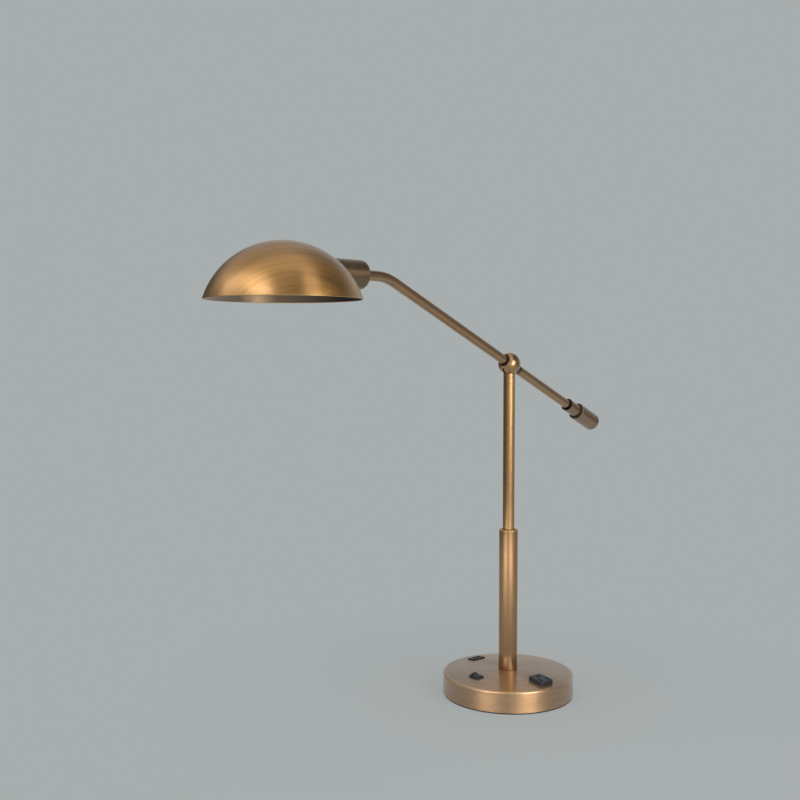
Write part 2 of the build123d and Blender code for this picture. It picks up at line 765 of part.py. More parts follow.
# Ball with a flat where the arm enters and leaves, and an arc-shaped guide for the pin
slot_half_angle = arm_half_travel_angle + slot_end_angle
guide_half_angle = arm_half_travel_angle + guide_end_angle
guide_inner = guide_radius - guide_pin_radius - guide_clearance
guide_outer = guide_radius + guide_pin_radius + guide_clearance
slot_half_width = tongue_blade_thickness / 2 + guide_clearance
with BuildPart() as pivot_ball:
    with Locations(ball_middle):
        Sphere(ball_radius)
    with Locations(Plane(ball_middle, (0, 1, 0), arm_direction)):
        Cylinder(ball_radius, 2 * ball_flat, mode=Mode.INTERSECT)
        Cylinder(arm_radius + close_fit, 2 * ball_radius, mode=Mode.SUBTRACT)
    for end in (-1, 1):
        with BuildSketch(along_arm(end * ball_flat)):
            Circle(ball_bush_radius)
        extrude(amount=-end * (ball_bush_thickness + ball_bush_recess), mode=Mode.SUBTRACT)
    with BuildSketch(ball_side):
        with BuildLine():
            slot_arc = CenterArc(
                (0, 0), ball_radius + slot_overshoot, 270 - slot_half_angle, 2 * slot_half_angle
            )
            slot_floor = CenterArc(
                (0, 0), tongue_top_radius - guide_clearance, 270 - slot_half_angle, 2 * slot_half_angle
            )
            Line(slot_arc @ 0, slot_floor @ 0)
            Line(slot_arc @ 1, slot_floor @ 1)
        make_face()
    extrude(amount=slot_half_width, both=True, mode=Mode.SUBTRACT)
    with BuildSketch(ball_side):
        with BuildLine():
            guide_arc = CenterArc((0, 0), guide_outer, 270 - guide_half_angle, 2 * guide_half_angle)
            guide_floor = CenterArc((0, 0), guide_inner, 270 - guide_half_angle, 2 * guide_half_angle)
            Line(guide_arc @ 0, guide_floor @ 0)
            Line(guide_arc @ 1, guide_floor @ 1)
        make_face()
    extrude(amount=guide_pin_half_length + guide_clearance, both=True, mode=Mode.SUBTRACT)
    with BuildSketch(Plane((0, 0, guide_pin_z), (1, 0, 0), (0, 1, 0))):
        Circle(guide_pin_radius + guide_clearance)
    extrude(amount=ball_radius, mode=Mode.SUBTRACT)
    with BuildSketch(Plane(ball_middle, (1, 0, 0), (0, 1, 0))):
        Circle(set_screw_radius + close_fit)
    extrude(amount=ball_radius, mode=Mode.SUBTRACT)
pivot_ball.part.label = "pivot_ball"
export_step(pivot_ball.part, "parts/pivot_ball.step")

# Dark bushes around the arm in the ball's two flats
with BuildPart() as ball_bushes:
    for end in (-1, 1):
        with BuildSketch(along_arm(end * (ball_flat - ball_bush_recess))):
            Circle(ball_bush_radius - close_fit)
            Circle(arm_radius + close_fit, mode=Mode.SUBTRACT)
        extrude(amount=-end * ball_bush_thickness)
ball_bushes.part.label = "ball_bushes"
export_step(ball_bushes.part, "parts/ball_bushes.step")

# Set screw that pins the arm in the ball
with BuildPart() as ball_screw:
    with BuildSketch(Plane((0, arm_radius + close_fit, ball_height), (1, 0, 0), (0, 1, 0))):
        Circle(set_screw_radius)
    extrude(amount=ball_screw_end - arm_radius)
    with BuildSketch(ball_screw.faces().sort_by(Axis.Y)[-1]):
        RegularPolygon(set_screw_socket, 6)
    extrude(amount=-set_screw_socket_depth, mode=Mode.SUBTRACT)
ball_screw.part.label = "ball_screw"
export_step(ball_screw.part, "parts/ball_screw.step")

# Arm tube: straight through the ball, then bent level into the head
with BuildPart() as arm_tube:
    with BuildLine(Plane.XZ):
        tail = ball_middle - arm_direction * arm_tail
        corner = ball_middle + arm_direction * arm_bend_distance
        arm_path = FilletPolyline(
            (tail.X, tail.Z), (corner.X, corner.Z), (-arm_end, corner.Z), radius=arm_bend_radius
        )
    with BuildSketch(along_arm(-arm_tail)):
        Circle(arm_radius)
        Circle(arm_bore, mode=Mode.SUBTRACT)
    sweep(path=arm_path)
arm_tube.part.label = "arm_tube"
export_step(arm_tube.part, "parts/arm_tube.step")

# Collar between ball and counterweight, with a dark ring at its near end
collar_end = counterweight_start + weight_recess_depth - weight_washer_thickness
with BuildPart() as arm_collar:
    with BuildSketch(along_arm(-collar_end)):
        Circle(collar_radius)
    extrude(amount=collar_end - collar_start - collar_ring_thickness)
    with BuildSketch(along_arm(-collar_end)):
        Circle(collar_foot_radius)
    extrude(amount=collar_foot_length, taper=45)
    with BuildSketch(along_arm(-collar_end)):
        Circle(arm_radius + close_fit)
    extrude(amount=collar_end - collar_start, mode=Mode.SUBTRACT)
arm_collar.part.label = "arm_collar"
export_step(arm_collar.part, "parts/arm_collar.step")

with BuildPart() as collar_ring:
    with BuildSketch(along_arm(-collar_start - collar_ring_thickness)):
        Circle(collar_radius)
        Circle(arm_radius + close_fit, mode=Mode.SUBTRACT)
    extrude(amount=collar_ring_thickness)
collar_ring.part.label = "collar_ring"
export_step(collar_ring.part, "parts/collar_ring.step")

# Counterweight, bored from its near end and pinned to the arm by a set screw
with BuildPart() as counterweight:
    with BuildSketch(along_arm(-counterweight_end)):
        Circle(counterweight_radius)
    extrude(amount=counterweight_end - counterweight_start)
    fillet(
        counterweight.edges().filter_by(GeomType.CIRCLE).sort_by(arm_axis)[0],
        radius=counterweight_round,
    )
    chamfer(
        counterweight.edges().filter_by(GeomType.CIRCLE).sort_by(arm_axis)[-1],
        length=counterweight_chamfer,
    )
    with BuildSketch(along_arm(-arm_tail)):
        Circle(arm_radius + close_fit)
    extrude(amount=arm_tail - counterweight_start, mode=Mode.SUBTRACT)
    with BuildSketch(along_arm(-counterweight_start)):
        Circle(weight_recess_radius)
    extrude(amount=-weight_recess_depth, mode=Mode.SUBTRACT)
    with BuildSketch(Plane(along_arm(-counterweight_screw_place).origin, arm_direction, (0, 1, 0))):
        Circle(set_screw_radius + close_fit)
    extrude(amount=counterweight_radius, mode=Mode.SUBTRACT)
counterweight.part.label = "counterweight"
export_step(counterweight.part, "parts/counterweight.step")

# Dark washer between the collar and the weight
with BuildPart() as weight_washer:
    with BuildSketch(along_arm(-counterweight_start - weight_recess_depth)):
        Circle(weight_recess_radius - close_fit)
        Circle(arm_radius + close_fit, mode=Mode.SUBTRACT)
    extrude(amount=weight_washer_thickness)
weight_washer.part.label = "weight_washer"
export_step(weight_washer.part, "parts/weight_washer.step")

screw_foot = along_arm(-counterweight_screw_place).origin + Vector(0, arm_radius + close_fit, 0)
with BuildPart() as counterweight_screw:
    with BuildSketch(Plane(screw_foot, arm_direction, (0, 1, 0))):
        Circle(set_screw_radius)
    extrude(amount=counterweight_screw_end - arm_radius)
    with BuildSketch(counterweight_screw.faces().sort_by(Axis.Y)[-1]):
        RegularPolygon(set_screw_socket, 6)
    extrude(amount=-set_screw_socket_depth, mode=Mode.SUBTRACT)
counterweight_screw.part.label = "counterweight_screw"
export_step(counterweight_screw.part, "parts/counterweight_screw.step")

# Swivel: plug in the arm's end, bright ring, hollow stud, washer and nut inside the cup
with BuildPart() as swivel_plug:
    with BuildSketch(facing_shade(arm_end - swivel_plug_length)):
        Circle(arm_bore - close_fit)
        Circle(swivel_radius + close_fit, mode=Mode.SUBTRACT)
    extrude(amount=swivel_plug_length)
swivel_plug.part.label = "swivel_plug"
export_step(swivel_plug.part, "parts/swivel_plug.step")

with BuildPart() as swivel_ring:
    with BuildSketch(facing_shade(arm_end)):
        Circle(arm_radius)
        Circle(swivel_radius + close_fit, mode=Mode.SUBTRACT)
    extrude(amount=swivel_ring_length)
swivel_ring.part.label = "swivel_ring"
export_step(swivel_ring.part, "parts/swivel_ring.step")

washer_start = cup_rear + cup_wall + thrust_gap
nut_start = washer_start + swivel_washer_thickness
nut_end = nut_start + swivel_nut_thickness
with BuildPart() as swivel_stud:
    with BuildSketch(facing_shade(arm_end - swivel_plug_length)):
        Circle(swivel_radius)
        Circle(swivel_bore_radius, mode=Mode.SUBTRACT)
    extrude(amount=nut_end + swivel_tail - arm_end + swivel_plug_length)
swivel_stud.part.label = "swivel_stud"
export_step(swivel_stud.part, "parts/swivel_stud.step")

with BuildPart() as swivel_washer:
    with BuildSketch(facing_shade(washer_start)):
        Circle(swivel_washer_radius)
        Circle(swivel_radius + close_fit, mode=Mode.SUBTRACT)
    extrude(amount=swivel_washer_thickness)
swivel_washer.part.label = "swivel_washer"
export_step(swivel_washer.part, "parts/swivel_washer.step")

with BuildPart() as swivel_nut:
    with BuildSketch(facing_shade(nut_start)):
        RegularPolygon(swivel_nut_flats / 2, 6, major_radius=False)
        Circle(swivel_radius + close_fit, mode=Mode.SUBTRACT)
    extrude(amount=swivel_nut_thickness)
swivel_nut.part.label = "swivel_nut"
export_step(swivel_nut.part, "parts/swivel_nut.step")

# Cup: its mouth is cut to the shade's curve
shade_middle = Vector(-shade_center, 0, shade_sphere_z)
with BuildPart() as cup_hollow:
    with BuildSketch(facing_shade(cup_rear + cup_wall)):
        Circle(cup_bore)
    extrude(amount=shade_center - cup_rear)
    fillet(
        cup_hollow.edges().filter_by(GeomType.CIRCLE).sort_by(head_axis)[0],
        radius=cup_round - cup_wall,
    )

with BuildPart() as socket_cup:
    with BuildSketch(facing_shade(cup_rear)):
        Circle(cup_radius)
    extrude(amount=shade_center - cup_rear)
    fillet(socket_cup.edges().filter_by(GeomType.CIRCLE).sort_by(head_axis)[0], radius=cup_round)
    add(cup_hollow.part, mode=Mode.SUBTRACT)
    with Locations(shade_middle):
        Sphere(shade_sphere, mode=Mode.SUBTRACT)
    with BuildSketch(facing_shade(cup_rear)):
        Circle(swivel_radius + running_fit)
    extrude(amount=cup_round, mode=Mode.SUBTRACT)
    with BuildSketch(Plane((-holder_screw_place, 0, head_height), (1, 0, 0), (0, 1, 0))):
        Circle(holder_screw_radius + close_fit)
    extrude(amount=cup_radius, mode=Mode.SUBTRACT)
socket_cup.part.label = "socket_cup"
export_step(socket_cup.part, "parts/socket_cup.step")

# Lampholder body, bored for its screw shell, with a dimple for the set screw
with BuildPart() as lampholder:
    with BuildSketch(facing_shade(holder_rear)):
        Circle(cup_bore - close_fit)
    extrude(amount=holder_shoulder - holder_rear)
    with BuildSketch(facing_shade(holder_shoulder)):
        Circle(shade_hole_radius - close_fit)
    extrude(amount=holder_front - holder_shoulder)
    with BuildSketch(facing_shade(holder_floor)):
        Circle(sleeve_outer + close_fit)
    extrude(amount=holder_front - holder_floor, mode=Mode.SUBTRACT)
    with BuildSketch(Plane((-holder_screw_place, holder_screw_start, head_height), (1, 0, 0), (0, 1, 0))):
        Circle(holder_screw_radius + close_fit)
    extrude(amount=cup_radius, mode=Mode.SUBTRACT)
lampholder.part.label = "lampholder"
export_step(lampholder.part, "parts/lampholder.step")

with BuildPart() as holder_contacts:
    with BuildSketch(facing_shade(holder_floor)):
        Circle(sleeve_outer)
        Circle(sleeve_inner, mode=Mode.SUBTRACT)
    extrude(amount=sleeve_length)
    with BuildSketch(facing_shade(holder_floor)):
        Circle(center_contact_radius)
    extrude(amount=center_contact_thickness)
holder_contacts.part.label = "holder_contacts"
export_step(holder_contacts.part, "parts/holder_contacts.step")

with BuildPart() as holder_screw:
    with BuildSketch(Plane((-holder_screw_place, holder_screw_start, head_height), (1, 0, 0), (0, 1, 0))):
        Circle(holder_screw_radius)
    extrude(amount=holder_screw_end - holder_screw_start)
holder_screw.part.label = "holder_screw"
export_step(holder_screw.part, "parts/holder_screw.step")

# Spun shade: a cap of a sphere, open below, pierced for the lampholder
with BuildPart() as shade:
    with Locations(shade_middle):
        Sphere(shade_sphere)
        Sphere(shade_sphere - shade_wall, mode=Mode.SUBTRACT)
    split(bisect_by=level(shade_rim_z), keep=Keep.TOP)
    with BuildSketch(facing_shade(cup_rear)):
        Circle(shade_hole_radius)
    extrude(amount=shade_center - cup_rear, mode=Mode.SUBTRACT)
shade.part.label = "shade"
export_step(shade.part, "parts/shade.step")

# Ring brazed inside the shade around the hole
with BuildPart() as shade_ring:
    with BuildSketch(facing_shade(cup_rear)):
        Circle(backing_radius)
        Circle(shade_hole_radius, mode=Mode.SUBTRACT)
    extrude(amount=shade_center - cup_rear)
    with Locations(shade_middle):
        Sphere(shade_sphere - shade_wall - close_fit, mode=Mode.INTERSECT)
        Sphere(shade_sphere - shade_wall - backing_thickness, mode=Mode.SUBTRACT)
shade_ring.part.label = "shade_ring"
export_step(shade_ring.part, "parts/shade_ring.step")

# Bulb: cap with its end contact, glass envelope, and stem with filaments
with BuildPart() as bulb_cap:
    with BuildSketch(facing_shade(cap_rear)):
        Circle(cap_radius)
    extrude(amount=cap_front - cap_rear)
    with BuildSketch(facing_shade(holder_floor + center_contact_thickness)):
        Circle(cap_button_radius)
    extrude(amount=cap_front - holder_floor - center_contact_thickness)
bulb_cap.part.label = "bulb_cap"
export_step(bulb_cap.part, "parts/bulb_cap.step")

with BuildPart() as bulb_glass:
    with BuildSketch(head_side):
        for inset in (0, glass_wall):
            neck = neck_radius - inset
            globe = globe_radius - inset
            sway = (globe_center - neck_end) / 2
            with BuildLine():
                neck_line = Line((cap_front, neck), (neck_end, neck))
                shoulder = Bezier(
                    neck_line @ 1,
                    (neck_end + sway, neck),
                    (globe_center - sway, globe),
                    (globe_center, globe),
                )
                tip = CenterArc((globe_center, 0), globe, 90, -90)
                Polyline(tip @ 1, (cap_front, 0), (cap_front, neck))
            make_face(mode=Mode.ADD if inset == 0 else Mode.SUBTRACT)
    revolve(axis=head_axis)
bulb_glass.part.label = "bulb_glass"
export_step(bulb_glass.part, "parts/bulb_glass.step")

with BuildPart() as bulb_stem:
    with BuildSketch(facing_shade(cap_front)):
        Circle(stem_radius)
    extrude(amount=stem_end - cap_front)
    with BuildSketch(facing_shade(stem_end)):
        Circle(filament_circle_radius + 2 * filament_radius)
    extrude(amount=2 * filament_radius)
    with BuildSketch(facing_shade(stem_end)):
        with PolarLocations(filament_circle_radius, filament_count):
            Circle(filament_radius)
    extrude(amount=filament_end - stem_end)
bulb_stem.part.label = "bulb_stem"
export_step(bulb_stem.part, "parts/bulb_stem.step")
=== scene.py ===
import json
from math import cos, pi, radians, sin

import bmesh
import bpy
from mathutils import Matrix, Vector


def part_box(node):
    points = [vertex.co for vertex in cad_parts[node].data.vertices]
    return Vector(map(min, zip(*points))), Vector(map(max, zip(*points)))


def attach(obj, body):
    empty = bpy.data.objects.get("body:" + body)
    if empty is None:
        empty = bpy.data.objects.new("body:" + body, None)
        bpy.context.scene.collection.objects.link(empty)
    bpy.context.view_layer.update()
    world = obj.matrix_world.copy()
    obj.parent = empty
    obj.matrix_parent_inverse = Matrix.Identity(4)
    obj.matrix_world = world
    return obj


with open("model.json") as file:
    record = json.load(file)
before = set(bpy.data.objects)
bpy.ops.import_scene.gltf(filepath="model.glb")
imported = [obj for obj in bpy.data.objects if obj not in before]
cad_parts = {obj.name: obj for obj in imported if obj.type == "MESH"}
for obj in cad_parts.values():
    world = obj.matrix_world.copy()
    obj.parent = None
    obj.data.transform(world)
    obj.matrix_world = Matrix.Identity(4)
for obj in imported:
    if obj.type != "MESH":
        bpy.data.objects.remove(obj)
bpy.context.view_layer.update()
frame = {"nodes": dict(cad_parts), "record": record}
nodes = frame["nodes"]
print("frame loaded:", len(nodes), "nodes")

# where the lamp's main pieces are, read from the frame
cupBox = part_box("socket_cup")
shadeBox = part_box("shade")
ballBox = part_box("pivot_ball")
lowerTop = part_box("lower_tube")[1][2]
ballCentre = Vector((0, 0, (ballBox[0][2] + ballBox[1][2]) / 2))
headHeight = (cupBox[0][2] + cupBox[1][2]) / 2
shadeRadius = (shadeBox[1][0] - shadeBox[0][0]) / 2
shadeDepth = shadeBox[1][2] - shadeBox[0][2]
shadeSphere = (shadeRadius**2 + shadeDepth**2) / (2 * shadeDepth)
shadeCentre = Vector(((shadeBox[0][0] + shadeBox[1][0]) / 2, 0, shadeBox[1][2] - shadeSphere))

# where painted highlights, painted shadows and the collar's black ring lie along a piece: a height, then
# distances from the ball's middle
baseEdge = 0.0285
armBush = 0.0178
ringFront = 0.1455
weightStart = 0.171
weightEnd = 0.216

armRise = radians(24.55)
armAxis = (-cos(armRise), 0, sin(armRise))
upAxis = (0, 0, 1)
headAxis = (-1, 0, 0)
footCentre = (0, 0, 0)
headCentre = (0, 0, headHeight)

cameraPlace = {
    "location": (-1.1097, -0.9084, 0.4730),
    "forward": (0.70273, 0.70993, -0.04658),
    "lens": 46.88,
    "sensor": 36,
    "clipEnd": 50,
}
forward = Vector(cameraPlace["forward"]).normalized()
towardCamera = Vector((-forward.x, -forward.y, 0)).normalized()
cameraRight = Vector((forward.y, -forward.x, 0)).normalized()


# small helpers for shader trees
def addNode(tree, kind, **settings):
    node = tree.nodes.new(kind)
    for key, value in settings.items():
        setattr(node, key, value)
    return node


def setInputs(node, **values):
    for key, value in values.items():
        node.inputs[key.replace("_", " ")].default_value = value


def mathNode(tree, operation, first, second=None):
    node = addNode(tree, "ShaderNodeMath", operation=operation)
    for socket, value in zip(node.inputs, (first, second)):
        if isinstance(value, (int, float)):
            socket.default_value = value
        elif value is not None:
            tree.links.new(value, socket)
    return node.outputs[0]


def vectorNode(tree, operation, first, second=None):
    node = addNode(tree, "ShaderNodeVectorMath", operation=operation)
    for socket, value in zip(node.inputs, (first, second)):
        if isinstance(value, (tuple, Vector)):
            socket.default_value = tuple(value)
        elif value is not None:
            tree.links.new(value, socket)
    return node.outputs["Value" if operation in ("DOT_PRODUCT", "LENGTH") else "Vector"]


def mixColour(tree, factor, first, second):
    node = addNode(tree, "ShaderNodeMix", data_type="RGBA")
    for socket, value in ((node.inputs[0], factor), (node.inputs[6], first), (node.inputs[7], second)):
        if hasattr(value, "default_value"):
            tree.links.new(value, socket)
        else:
            socket.default_value = (*value, 1)
    return node.outputs[2]


def rangeNode(tree, value, fromLow, fromHigh, toLow=0, toHigh=1):
    node = addNode(tree, "ShaderNodeMapRange")
    tree.links.new(value, node.inputs["Value"])
    setInputs(node, From_Min=fromLow, From_Max=fromHigh, To_Min=toLow, To_Max=toHigh)
    return node.outputs["Result"]


def noiseNode(tree, **values):
    node = addNode(tree, "ShaderNodeTexNoise")
    setInputs(node, **values)
    tree.links.new(objectPlace(tree), node.inputs["Vector"])
    return node.outputs["Fac"]


def objectPlace(tree):
    return addNode(tree, "ShaderNodeTexCoord").outputs["Object"]


def addBump(tree, shader, height, strength):
    bump = addNode(tree, "ShaderNodeBump")
    setInputs(bump, Strength=strength, Distance=bumpDistance)
    tree.links.new(height, bump.inputs["Height"])
    tree.links.new(bump.outputs[0], shader.inputs["Normal"])


def newMaterial(name):
    material = bpy.data.materials.new(name)
    material.use_nodes = True
    tree = material.node_tree
    return material, tree, tree.nodes["Principled BSDF"]


def newGroup(name, inputs, outputs):
    tree = bpy.data.node_groups.new(name, "ShaderNodeTree")
    for label, kind in inputs.items():
        tree.interface.new_socket(label, in_out="INPUT", socket_type=kind)
    for label in outputs:
        tree.interface.new_socket(label, in_out="OUTPUT", socket_type="NodeSocketFloat")
    return tree, tree.nodes.new("NodeGroupInput"), tree.nodes.new("NodeGroupOutput")


bumpDistance = 0.0002
noiseSpread = (0.3, 0.7)  # most of a noise texture's values lie between these

brushLayers = {
    "Fine": {"lines": 1.0, "smear": 1.0, "detail": 5},
    "Broad": {"lines": 0.09, "smear": 0.6, "detail": 3},
}
brushRoughness = 0.62


# brush lines that run in rings round an axis
def makeBrushGroup():
    inputs = {
        "Centre": "NodeSocketVector",
        "Axis": "NodeSocketVector",
        "Lines": "NodeSocketFloat",
        "Smear": "NodeSocketFloat",
    }
    tree, inlet, outlet = newGroup("brushLines", inputs, brushLayers)
    offset = vectorNode(tree, "SUBTRACT", objectPlace(tree), inlet.outputs["Centre"])
    along = vectorNode(tree, "DOT_PRODUCT", offset, inlet.outputs["Axis"])
    onAxis = addNode(tree, "ShaderNodeVectorMath", operation="SCALE")
    tree.links.new(inlet.outputs["Axis"], onAxis.inputs[0])
    tree.links.new(along, onAxis.inputs["Scale"])
    outward = vectorNode(tree, "SUBTRACT", offset, onAxis.outputs[0])
    across = mathNode(tree, "SUBTRACT", along, vectorNode(tree, "LENGTH", outward))
    parts = addNode(tree, "ShaderNodeSeparateXYZ")
    tree.links.new(vectorNode(tree, "NORMALIZE", outward), parts.inputs[0])
    for label, layer in brushLayers.items():
        lines = mathNode(tree, "MULTIPLY", inlet.outputs["Lines"], layer["lines"])
        smear = mathNode(tree, "MULTIPLY", inlet.outputs["Smear"], layer["smear"])
        joined = addNode(tree, "ShaderNodeCombineXYZ")
        tree.links.new(mathNode(tree, "MULTIPLY", across, lines), joined.inputs[0])
        tree.links.new(mathNode(tree, "MULTIPLY", parts.outputs[0], smear), joined.inputs[1])
        tree.links.new(mathNode(tree, "MULTIPLY", parts.outputs[1], smear), joined.inputs[2])
        noise = addNode(tree, "ShaderNodeTexNoise", noise_dimensions="4D")
        setInputs(noise, Scale=1.0, Detail=layer["detail"], Roughness=brushRoughness)
        tree.links.new(joined.outputs[0], noise.inputs["Vector"])
        tree.links.new(mathNode(tree, "MULTIPLY", parts.outputs[2], smear), noise.inputs["W"])
        tree.links.new(noise.outputs["Fac"], outlet.inputs[label])
    return tree


patina = {
    "clouds": {"Scale": 18.0, "Detail": 4.0, "Roughness": 0.6, "Distortion": 0.4},
    "specks": {"Scale": 420.0, "Detail": 2.0, "Roughness": 0.5},
    "speckRange": (0.62, 0.74),
}


# cloudy patina and small dark specks
def makePatinaGroup():
    tree, _, outlet = newGroup("patina", {}, ("Clouds", "Specks"))
    tree.links.new(noiseNode(tree, **patina["clouds"]), outlet.inputs["Clouds"])
    specks = rangeNode(tree, noiseNode(tree, **patina["specks"]), *patina["speckRange"])
    tree.links.new(specks, outlet.inputs["Specks"])
    return tree


brushGroup = makeBrushGroup()
patinaGroup = makePatinaGroup()

brassFinish = {
    "bright": (0.62, 0.345, 0.130),
    "deep": (0.50, 0.275, 0.105),
    "toneRange": (0.34, 0.66),
    "speck": (0.16, 0.09, 0.05),
    "specks": 0.08,
    "lines": 1500.0,
    "smear": 1.6,
    "fineShare": 0.55,
    "roughness": (0.24, 0.34),
    "anisotropy": 0.6,
    "bump": 0.02,
    "clouds": 0.3,
    "coat": 0.6,
    "coatRoughness": 0.24,
    "coatIor": 1.5,
    "coatTint": (1.0, 1.0, 1.0),
    "blurTurn": 0.25,
    "marks": (),
}
markFade = {"core": 0.6, "width": 0.0002}  # share of its reach that is even, and how fast "beyond" starts


# bands of another colour, mostly painted highlights and painted shadows: each lies at a place along the
# axis, and may start beyond a distance from it
def addMarks(tree, colour, offset, axis, marks):
    for mark in marks:
        along = vectorNode(tree, "DOT_PRODUCT", offset, tuple(axis))
        gap = mathNode(tree, "ABSOLUTE", mathNode(tree, "SUBTRACT", along, mark["place"]))
        share = rangeNode(tree, gap, markFade["core"] * mark["reach"], mark["reach"], mark["share"], 0)
        if "beyond" in mark:
            out = vectorNode(tree, "LENGTH", vectorNode(tree, "CROSS_PRODUCT", offset, tuple(axis)))
            wide = rangeNode(tree, out, mark["beyond"] - markFade["width"], mark["beyond"])
            share = mathNode(tree, "MULTIPLY", share, wide)
        colour = mixColour(tree, share, colour, mark["colour"])
    return colour


# the shade's inside, coloured from left to right as the camera sees it: over its own darker brass, the
# pale band is a painted reflection and the darkening to black on the right is painted shade
def addInsidePaintedLight(tree, colour, roughness, offset, hollow):
    inside = mathNode(tree, "LESS_THAN", vectorNode(tree, "LENGTH", offset), hollow["radius"])
    side = vectorNode(tree, "DOT_PRODUCT", offset, cameraRight)
    ramp = addNode(tree, "ShaderNodeValToRGB")
    tree.links.new(rangeNode(tree, side, -shadeRadius, shadeRadius), ramp.inputs[0])
    stops = ramp.color_ramp.elements
    while len(stops) < len(hollow["stops"]):
        stops.new(0.5)
    for stop, (place, tint) in zip(stops, hollow["stops"]):
        stop.position = place
        stop.color = (*tint, 1)
    colour = mixColour(tree, inside, colour, ramp.outputs[0])
    return colour, mixColour(tree, inside, roughness, (hollow["roughness"],) * 3)


# one brushed brass finish, its lines running round this axis
def makeBrass(name, centre, axis, **changes):
    finish = {**brassFinish, **changes}
    material, tree, shader = newMaterial(name)
    brush = addNode(tree, "ShaderNodeGroup", node_tree=brushGroup)
    setInputs(brush, Centre=tuple(centre), Axis=tuple(axis), Lines=finish["lines"], Smear=finish["smear"])
    worn = addNode(tree, "ShaderNodeGroup", node_tree=patinaGroup)
    fine = mathNode(tree, "MULTIPLY", brush.outputs["Fine"], finish["fineShare"])
    broad = mathNode(tree, "MULTIPLY", brush.outputs["Broad"], 1 - finish["fineShare"])
    lay = mathNode(tree, "ADD", fine, broad)
    lines = mathNode(tree, "MULTIPLY", lay, 1 - finish["clouds"])
    clouds = mathNode(tree, "MULTIPLY", worn.outputs["Clouds"], finish["clouds"])
    tone = rangeNode(tree, mathNode(tree, "ADD", lines, clouds), *finish["toneRange"])
    colour = mixColour(tree, tone, finish["deep"], finish["bright"])
    dirt = mathNode(tree, "MULTIPLY", worn.outputs["Specks"], finish["specks"])
    colour = mixColour(tree, dirt, colour, finish["speck"])
    roughness = rangeNode(tree, lay, *noiseSpread, *finish["roughness"])
    offset = vectorNode(tree, "SUBTRACT", objectPlace(tree), centre)
    colour = addMarks(tree, colour, offset, axis, finish["marks"])
    # the shade's inside gets its painted reflection and painted shade here
    if "hollow" in finish:
        colour, roughness = addInsidePaintedLight(tree, colour, roughness, offset, finish["hollow"])
    tree.links.new(colour, shader.inputs["Base Color"])
    tree.links.new(roughness, shader.inputs["Roughness"])
    addBump(tree, shader, brush.outputs["Fine"], finish["bump"])
    setInputs(shader, Metallic=1.0, Anisotropic=finish["anisotropy"],
              Anisotropic_Rotation=finish["blurTurn"])
    setInputs(shader, Coat_Weight=finish["coat"], Coat_Roughness=finish["coatRoughness"],
              Coat_IOR=finish["coatIor"], Coat_Tint=(*finish["coatTint"], 1))
    ringward = vectorNode(tree, "CROSS_PRODUCT", tuple(axis), offset)
    turn = addNode(tree, "ShaderNodeVectorTransform", vector_type="VECTOR",
                   convert_from="OBJECT", convert_to="WORLD")
    tree.links.new(vectorNode(tree, "NORMALIZE", ringward), turn.inputs[0])
    tree.links.new(turn.outputs[0], shader.inputs["Tangent"])
    return material


plasticFinish = {
    "grain": 900.0,
    "grainDetail": 2.0,
    "cast": {"Scale": 60.0, "Detail": 3.0},
    "roughnessSpread": 0.06,
    "bump": 0.05,
}


# moulded plastic: a faint grain, and a paler cast where it is handled
def makePlastic(name, colour, lift, roughness, **changes):
    finish = {**plasticFinish, **changes}
    material, tree, shader = newMaterial(name)
    grain = noiseNode(tree, Scale=finish["grain"], Detail=finish["grainDetail"])
    cast = noiseNode(tree, **finish["cast"])
    tree.links.new(mixColour(tree, cast, colour, lift), shader.inputs["Base Color"])
    spread = finish["roughnessSpread"]
    grainRoughness = rangeNode(tree, grain, *noiseSpread, roughness - spread, roughness + spread)
    tree.links.new(grainRoughness, shader.inputs["Roughness"])
    addBump(tree, shader, grain, finish["bump"])
    return material


steelFinish = {"mottle": {"Scale": 120.0, "Detail": 4.0}, "darkShare": 0.7, "roughnessRise": 0.15}


# plated or cast metal with a mottled sheen
def makeSteel(name, colour, roughness):
    material, tree, shader = newMaterial(name)
    mottle = noiseNode(tree, **steelFinish["mottle"])
    dark = tuple(steelFinish["darkShare"] * part for part in colour)
    tree.links.new(mixColour(tree, mottle, dark, colour), shader.inputs["Base Color"])
    sheen = rangeNode(tree, mottle, *noiseSpread, roughness, roughness + steelFinish["roughnessRise"])
    tree.links.new(sheen, shader.inputs["Roughness"])
    setInputs(shader, Metallic=1.0)
    return material


glassFinish = {
    "cloud": {"Scale": 70.0, "Detail": 3.0},
    "deep": (0.86, 0.86, 0.83),
    "bright": (0.93, 0.93, 0.90),
    "roughness": (0.18, 0.28),
    "transmission": 0.35,
    "ior": 1.5,
}


# frosted glass with a milky coat inside
def makeGlass(name):
    material, tree, shader = newMaterial(name)
    cloud = noiseNode(tree, **glassFinish["cloud"])
    milk = mixColour(tree, cloud, glassFinish["deep"], glassFinish["bright"])
    tree.links.new(milk, shader.inputs["Base Color"])
    frost = rangeNode(tree, cloud, *noiseSpread, *glassFinish["roughness"])
    tree.links.new(frost, shader.inputs["Roughness"])
    setInputs(shader, Transmission_Weight=glassFinish["transmission"], IOR=glassFinish["ior"])
    return material


shadeLay = (-0.335, -0.794, -0.500)  # the shade's lines ring a point below its face
# the shade's inside: a painted reflection in the pale stop and painted shade in the dark stops toward the
# right, over its own darker brass
shadeInsidePaintedLight = {
    "radius": shadeSphere - 0.0005,
    "roughness": 0.34,
    "stops": [
        (0.0, (0.42, 0.31, 0.24)),
        (0.17, (0.29, 0.185, 0.12)),
        (0.27, (1.0, 0.66, 0.38)),
        (0.40, (0.26, 0.155, 0.085)),
        (0.65, (0.14, 0.085, 0.045)),
        (0.9, (0.02, 0.013, 0.008)),
    ],
}
